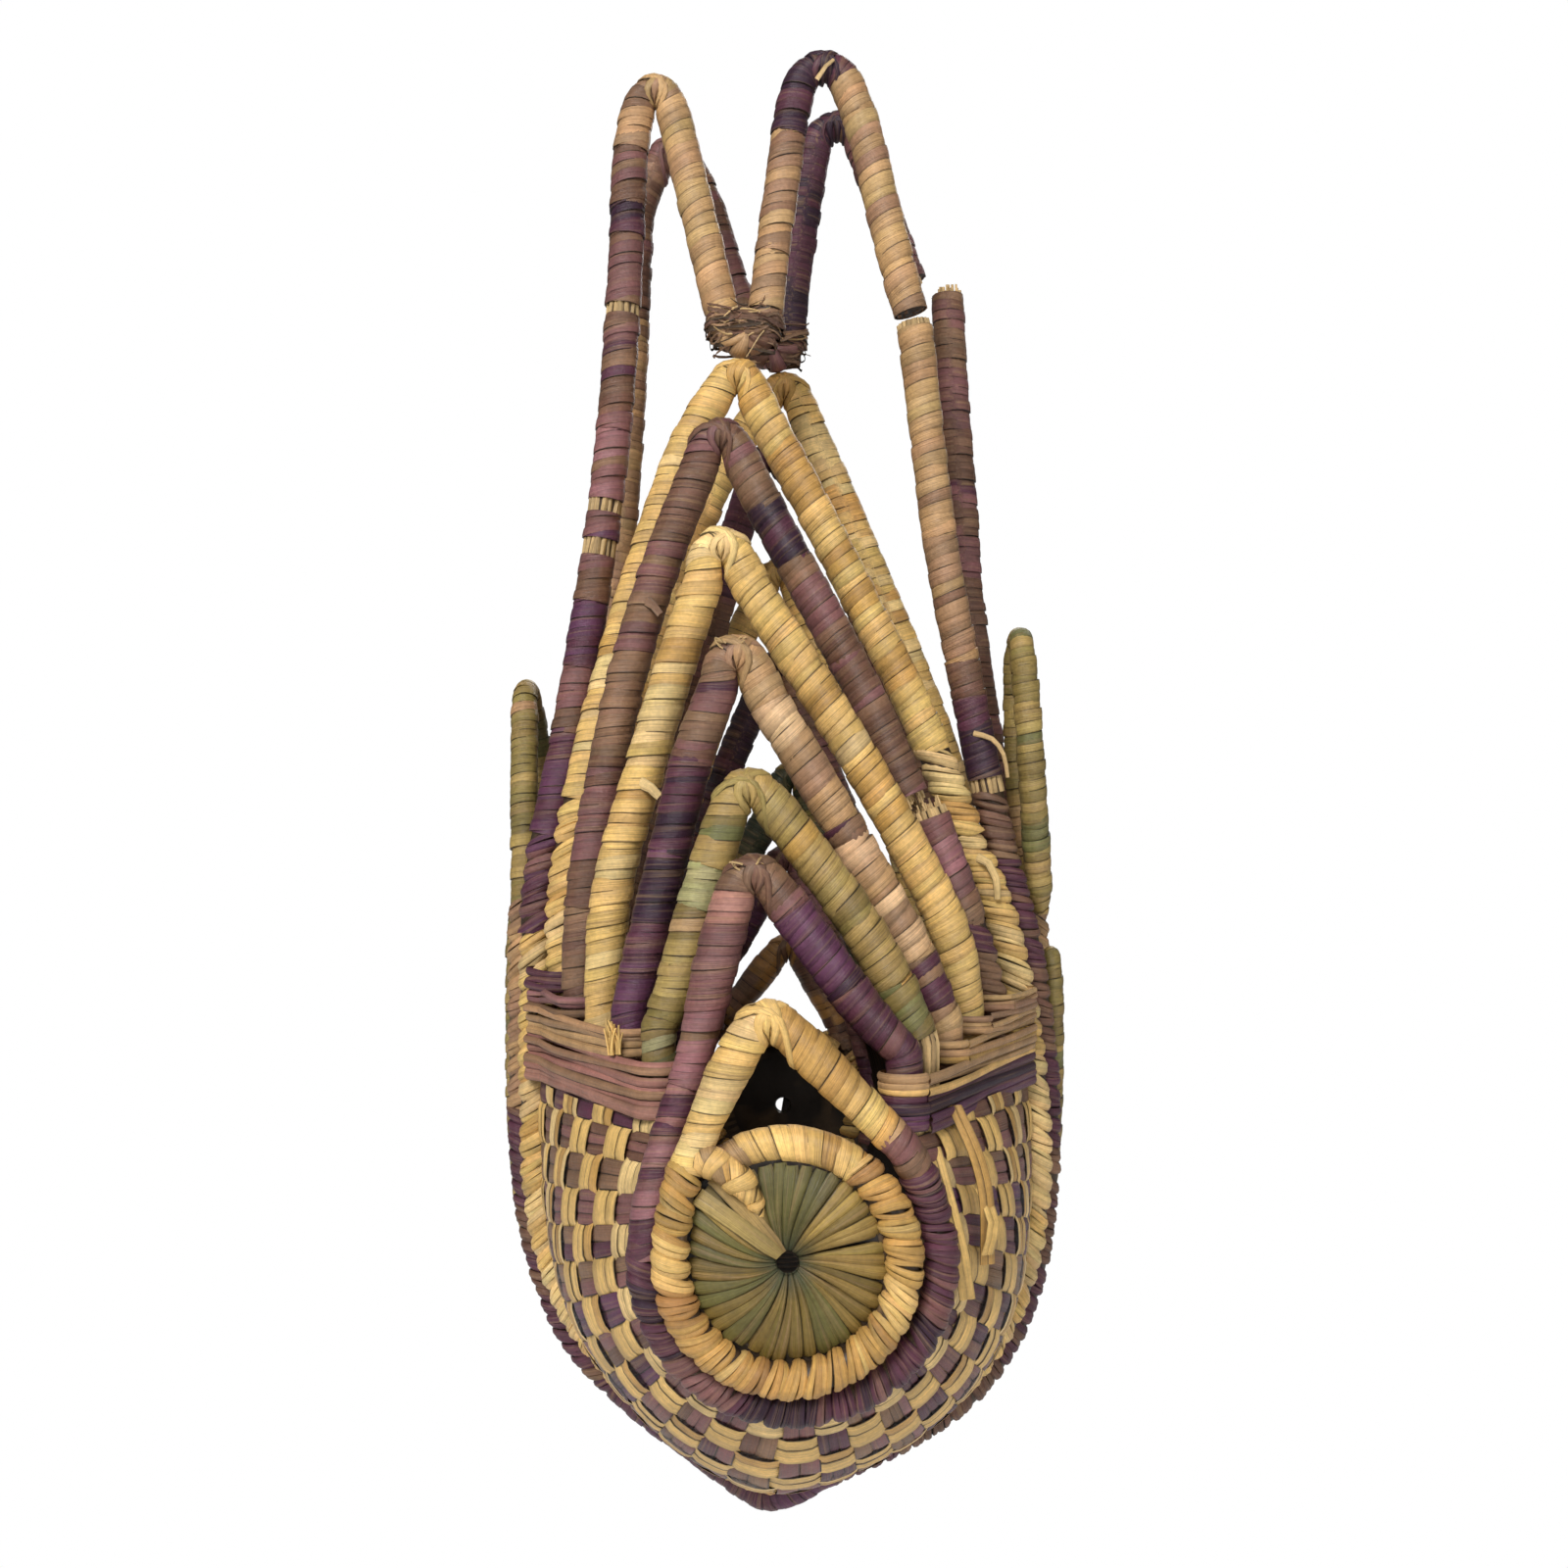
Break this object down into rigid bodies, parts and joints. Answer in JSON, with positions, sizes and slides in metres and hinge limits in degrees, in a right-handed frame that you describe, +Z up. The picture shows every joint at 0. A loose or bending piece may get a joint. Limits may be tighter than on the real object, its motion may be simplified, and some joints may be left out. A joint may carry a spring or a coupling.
{
  "type": "woven basket pouch",
  "caption": "Narrow hanging basket pouch of straw rods wound with dyed raffia: rosettes at both ends, stepped pointed loops, woven walls and eared handle hoops.",
  "frame": {"origin": "hanging point: midway between the undersides of the ear tips of the handle hoops, on the pouch's middle line", "axes": "+Z up, out of the mouth; -Y towards the front rosette, +Y towards the back rosette; +X to the right as seen from the front"},
  "size_m": [0.1396, 0.1896, 0.3555],
  "materials": {
    "straw_yellow": "yellow dyed raffia wound over straw",
    "straw_tan": "faded tan raffia wound over straw",
    "olive_green": "olive green dyed raffia",
    "plum_purple": "dark plum dyed raffia",
    "mauve_brown": "mauve brown dyed raffia, woven on the walls",
    "pink_tan": "pinkish tan raffia bands"
  },
  "bodies": {
    "root": {"front_rosette": "olive_green", "front_loop_1": "straw_yellow", "front_loop_2": "plum_purple", "front_loop_3": "olive_green", "front_loop_4": "pink_tan", "front_loop_5": "straw_yellow", "front_loop_6": "mauve_brown", "front_loop_6_stump": "mauve_brown", "front_loop_7": "straw_yellow", "front_border_coil": "straw_yellow", "front_handle_hoop": "straw_tan", "front_handle_leg": "straw_tan", "front_keel_coil": "plum_purple", "front_valley_lashing": "straw_tan", "front_woven_wall": "mauve_brown", "front_weft_band_left": "pink_tan", "front_weft_band_right": "pink_tan", "back_rosette": "olive_green", "back_loop_1": "straw_yellow", "back_loop_2": "plum_purple", "back_loop_3": "olive_green", "back_loop_4": "pink_tan", "back_loop_5": "straw_yellow", "back_loop_6": "mauve_brown", "back_loop_7": "straw_yellow", "back_border_coil": "straw_yellow", "back_handle_hoop": "straw_tan", "back_handle_leg": "straw_tan", "back_keel_coil": "plum_purple", "back_valley_lashing": "straw_tan", "back_woven_wall": "mauve_brown", "back_weft_band_left": "pink_tan", "back_weft_band_right": "pink_tan", "gusset_belt": "olive_green", "side_loop_left": "olive_green", "side_loop_right": "olive_green"}
  },
  "joints": []
}
